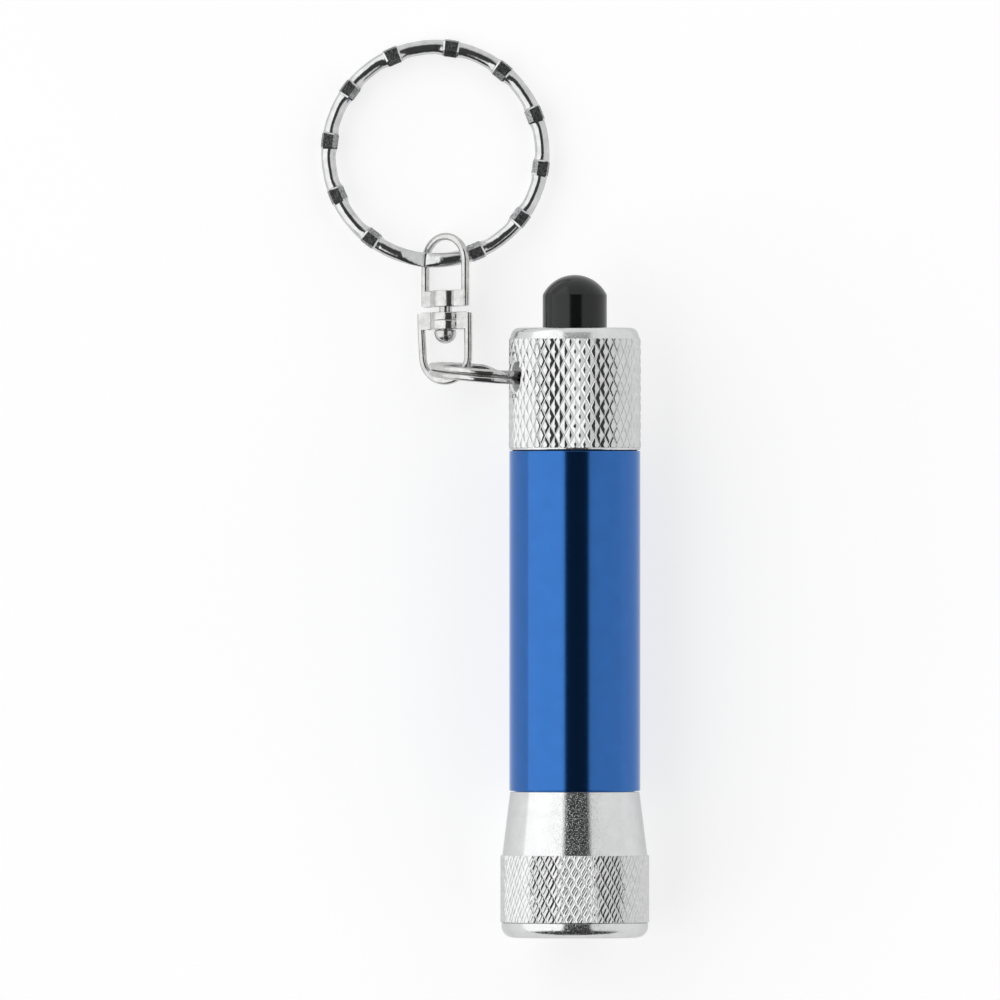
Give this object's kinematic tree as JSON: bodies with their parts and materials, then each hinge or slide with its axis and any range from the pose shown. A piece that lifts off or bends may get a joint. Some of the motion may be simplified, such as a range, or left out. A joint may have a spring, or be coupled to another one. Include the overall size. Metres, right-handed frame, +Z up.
{
  "type": "keychain flashlight",
  "caption": "Small aluminium LED torch with push-button tail cap, split ring, wire swivel and notched key ring, for hanging on keys.",
  "frame": {"origin": "centre of the round window opening in the head's front face, on the torch's axis", "axes": "+Y along the torch's axis towards the push button, +Z up from the surface the torch lies on, +X away from the key ring's side"},
  "size_m": [0.0361, 0.0987, 0.0164],
  "materials": {
    "satin_aluminium": "satin, fine turned and blasted aluminium with a rolled knurl",
    "blue_anodised": "glossy blue anodised aluminium",
    "clear_window": "clear acrylic window",
    "black_rubber": "matt black rubber",
    "reflector_plate": "vacuum-plated plastic",
    "led_epoxy": "clear epoxy",
    "tinned_wire": "tinned wire",
    "board_laminate": "glass-fibre circuit board",
    "contact_brass": "stamped and turned brass",
    "shrink_film": "thin heat-shrink film",
    "cell_steel": "nickel-plated steel can",
    "spring_steel": "drawn spring wire",
    "switch_nylon": "moulded black nylon",
    "plunger_acetal": "moulded white acetal",
    "button_black": "glossy hard black plastic",
    "nickel_wire": "nickel-plated steel wire",
    "nickel_ring": "bright nickel-plated spring steel"
  },
  "bodies": {
    "torch_body": {"barrel": "blue_anodised", "head_oring": "black_rubber", "battery_sleeve": "shrink_film", "cell_1": "cell_steel", "cell_2": "cell_steel", "cell_3": "cell_steel", "cell_4": "cell_steel", "battery_spring": "spring_steel", "tail_cap": "satin_aluminium", "tail_oring": "black_rubber", "switch_housing": "switch_nylon", "switch_terminal": "contact_brass", "switch_retainer": "contact_brass"},
    "led_module": {"led_reflector": "reflector_plate", "led_1": "led_epoxy", "led_2": "led_epoxy", "led_3": "led_epoxy", "led_leads": "tinned_wire", "led_board": "board_laminate", "front_contact": "contact_brass"},
    "head": {"head_bezel": "satin_aluminium", "lens": "clear_window", "lens_gasket": "black_rubber"},
    "button": {"push_button": "button_black", "switch_plunger": "plunger_acetal", "switch_contact": "contact_brass", "switch_spring": "spring_steel"},
    "split_ring": {"split_ring": "nickel_wire"},
    "lower_bail": {"lower_bail": "nickel_wire"},
    "upper_bail": {"upper_bail": "nickel_wire", "swivel_pin": "nickel_wire"},
    "key_ring": {"key_ring": "nickel_ring"}
  },
  "joints": [
    {"name": "head_unscrew", "type": "slide", "parent": "torch_body", "child": "led_module", "axis": [0, -1, 0], "range_m": [0, 0.003]},
    {"name": "head_turn", "type": "hinge", "parent": "led_module", "child": "head", "pos_m": [0, 0, 0], "axis": [0, -1, 0], "range_deg": [0, 1440]},
    {"name": "button_press", "type": "slide", "parent": "torch_body", "child": "button", "axis": [0, -1, 0], "range_m": [0, 0.0014], "stiffness_N_per_m": 900, "springref_m": -0.001, "deforming": ["switch_spring"]},
    {"name": "split_ring_swing", "type": "hinge", "parent": "torch_body", "child": "split_ring", "pos_m": [-0.0047, 0.06126, -0.00065], "axis": [0.1083, 0.0437, -0.9932], "range_deg": [-7, 7]},
    {"name": "lower_bail_swing", "type": "hinge", "parent": "split_ring", "child": "lower_bail", "pos_m": [-0.01417, 0.06241, -0.00481], "axis": [0.6877, -0.016, -0.7258], "range_deg": [0, 10]},
    {"name": "swivel_spin", "type": "hinge", "parent": "lower_bail", "child": "upper_bail", "pos_m": [-0.0142, 0.069, -0.00555], "axis": [0, 0.9986, -0.0523], "continuous": true},
    {"name": "key_ring_fold", "type": "hinge", "parent": "upper_bail", "child": "key_ring", "pos_m": [-0.0142, 0.07458, -0.00613], "axis": [1, 0, 0], "range_deg": [0, 70]}
  ],
  "couplings": [
    {"joint": "head_turn", "follows": "head_unscrew", "rad_per_m": 8377.6}
  ]
}
